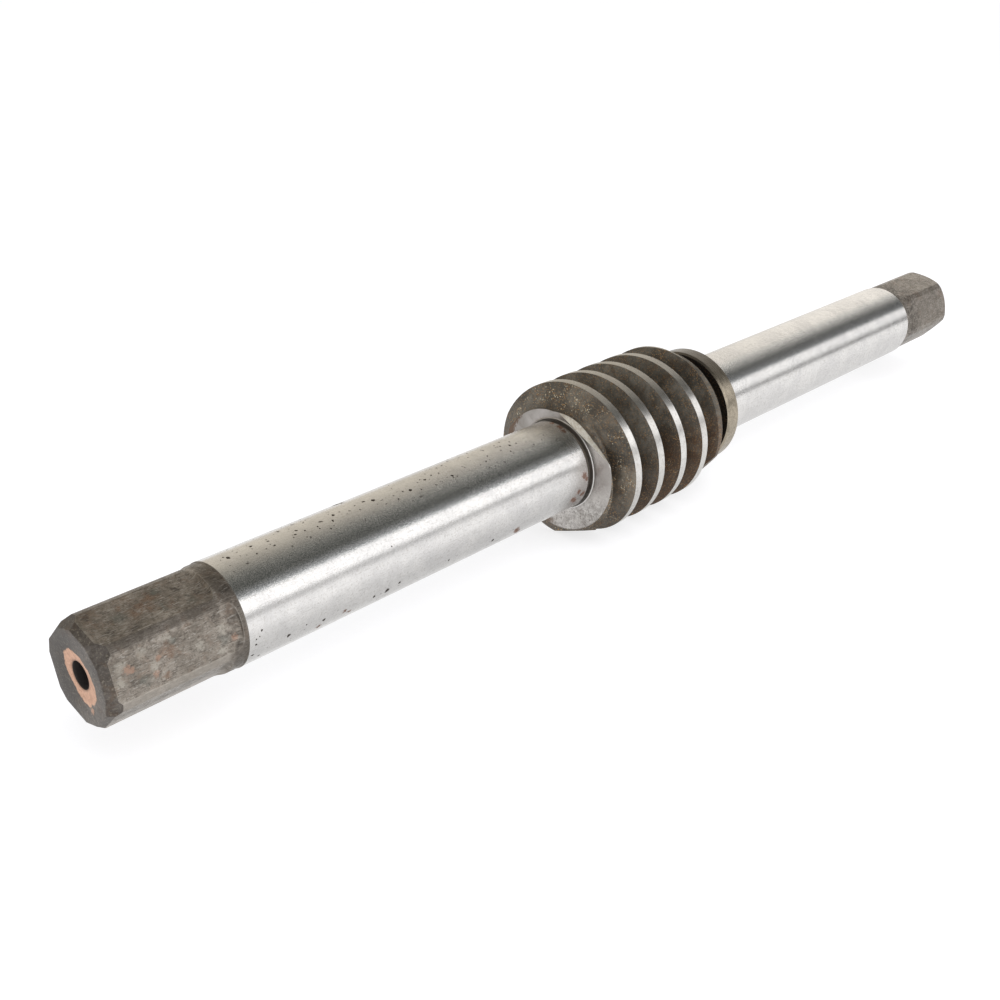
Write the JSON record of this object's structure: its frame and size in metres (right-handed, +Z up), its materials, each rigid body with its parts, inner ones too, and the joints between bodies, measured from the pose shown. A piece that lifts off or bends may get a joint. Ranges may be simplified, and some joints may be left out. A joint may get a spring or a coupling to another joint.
{
  "type": "worm shaft",
  "caption": "Solid steel worm shaft: a right-hand worm thread between ground bearing journals, with a hexagonal drive end at each side",
  "frame": {"origin": "on the shaft's centre line at half its length", "axes": "X runs along the shaft, with the end nearest in the picture at low X; Z is up and Y completes a right-handed frame"},
  "size_m": [0.5634, 0.071, 0.071],
  "materials": {
    "steel": "journals and thread crests ground bright, thread flanks and hexagonal ends dark and lightly rusted"
  },
  "bodies": {
    "root": {"worm_shaft": "steel"}
  },
  "joints": []
}
